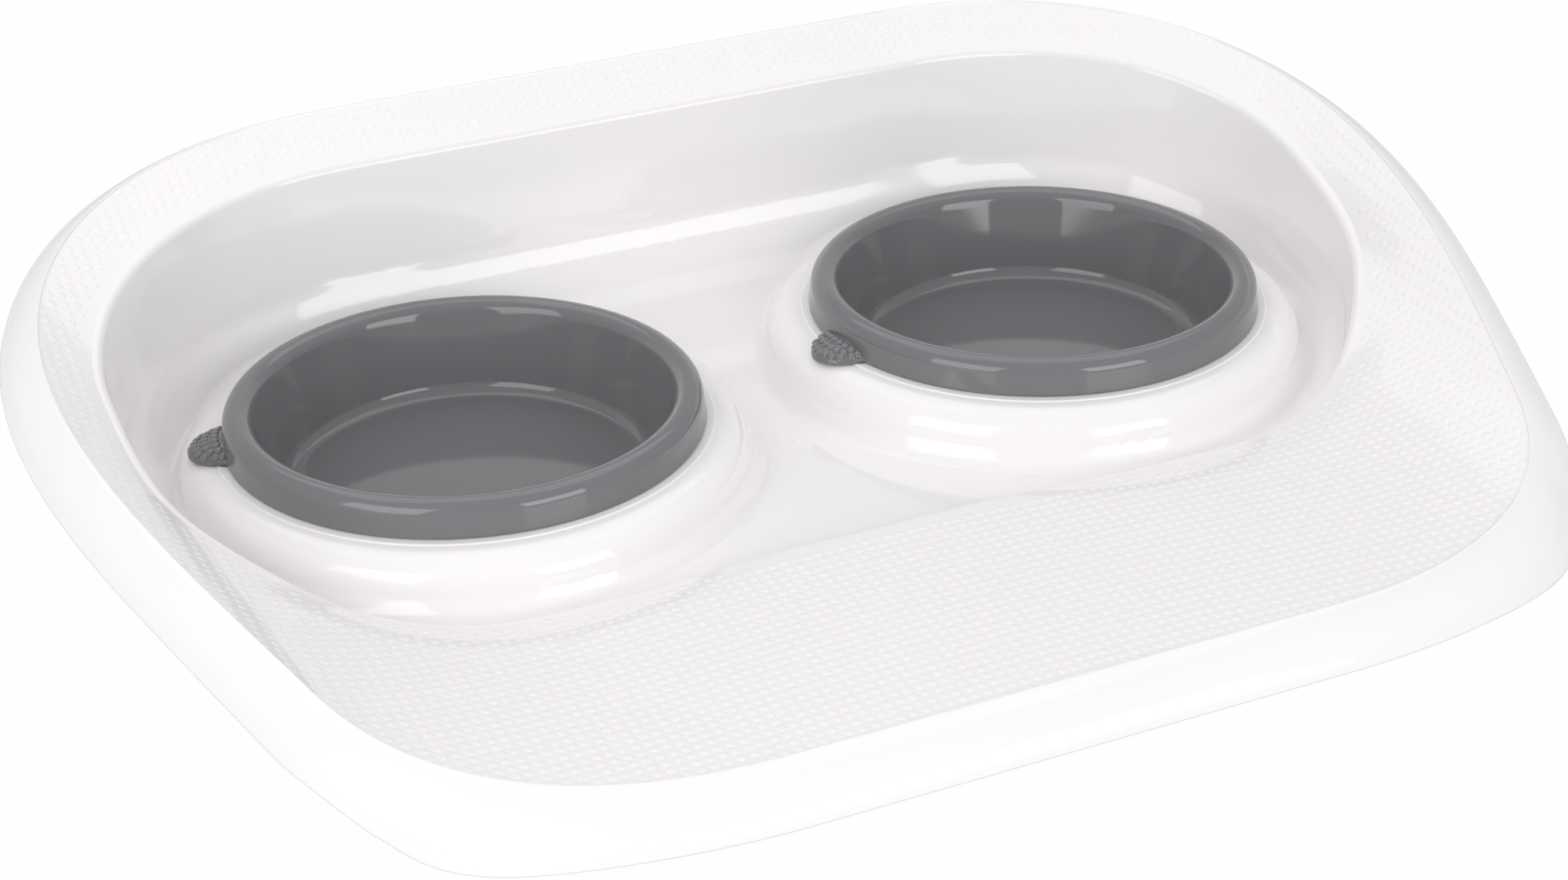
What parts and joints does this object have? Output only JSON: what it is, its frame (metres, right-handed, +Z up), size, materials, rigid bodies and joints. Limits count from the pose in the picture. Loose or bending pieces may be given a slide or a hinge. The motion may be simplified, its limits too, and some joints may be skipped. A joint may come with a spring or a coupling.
{
  "type": "double pet bowl",
  "caption": "Raised, dished pet feeding tray with a textured rim, a low front mat and two round lift-out bowls on mounds.",
  "frame": {"origin": "on the ground under the middle of the tray", "axes": "+Z up, +X to the right of someone who faces the low front edge, -Y towards that person"},
  "size_m": [0.4576, 0.331, 0.0856],
  "materials": {
    "tray": "glossy off-white moulding, with fine raised dots on the rim and mat",
    "bowl": "glossy grey moulding",
    "foot": "matte dark rubber"
  },
  "bodies": {
    "tray_body": {"tray": "tray", "foot_front_left": "foot", "foot_front_right": "foot", "foot_back_left": "foot", "foot_back_right": "foot"},
    "left_bowl_body": {"bowl_left": "bowl"},
    "right_bowl_body": {"bowl_right": "bowl"}
  },
  "joints": [
    {"name": "bowl_left_lift", "type": "slide", "parent": "tray_body", "child": "left_bowl_body", "axis": [0, 0, 1], "range_m": [0, 0.1]},
    {"name": "bowl_right_lift", "type": "slide", "parent": "tray_body", "child": "right_bowl_body", "axis": [0, 0, 1], "range_m": [0, 0.1]}
  ]
}
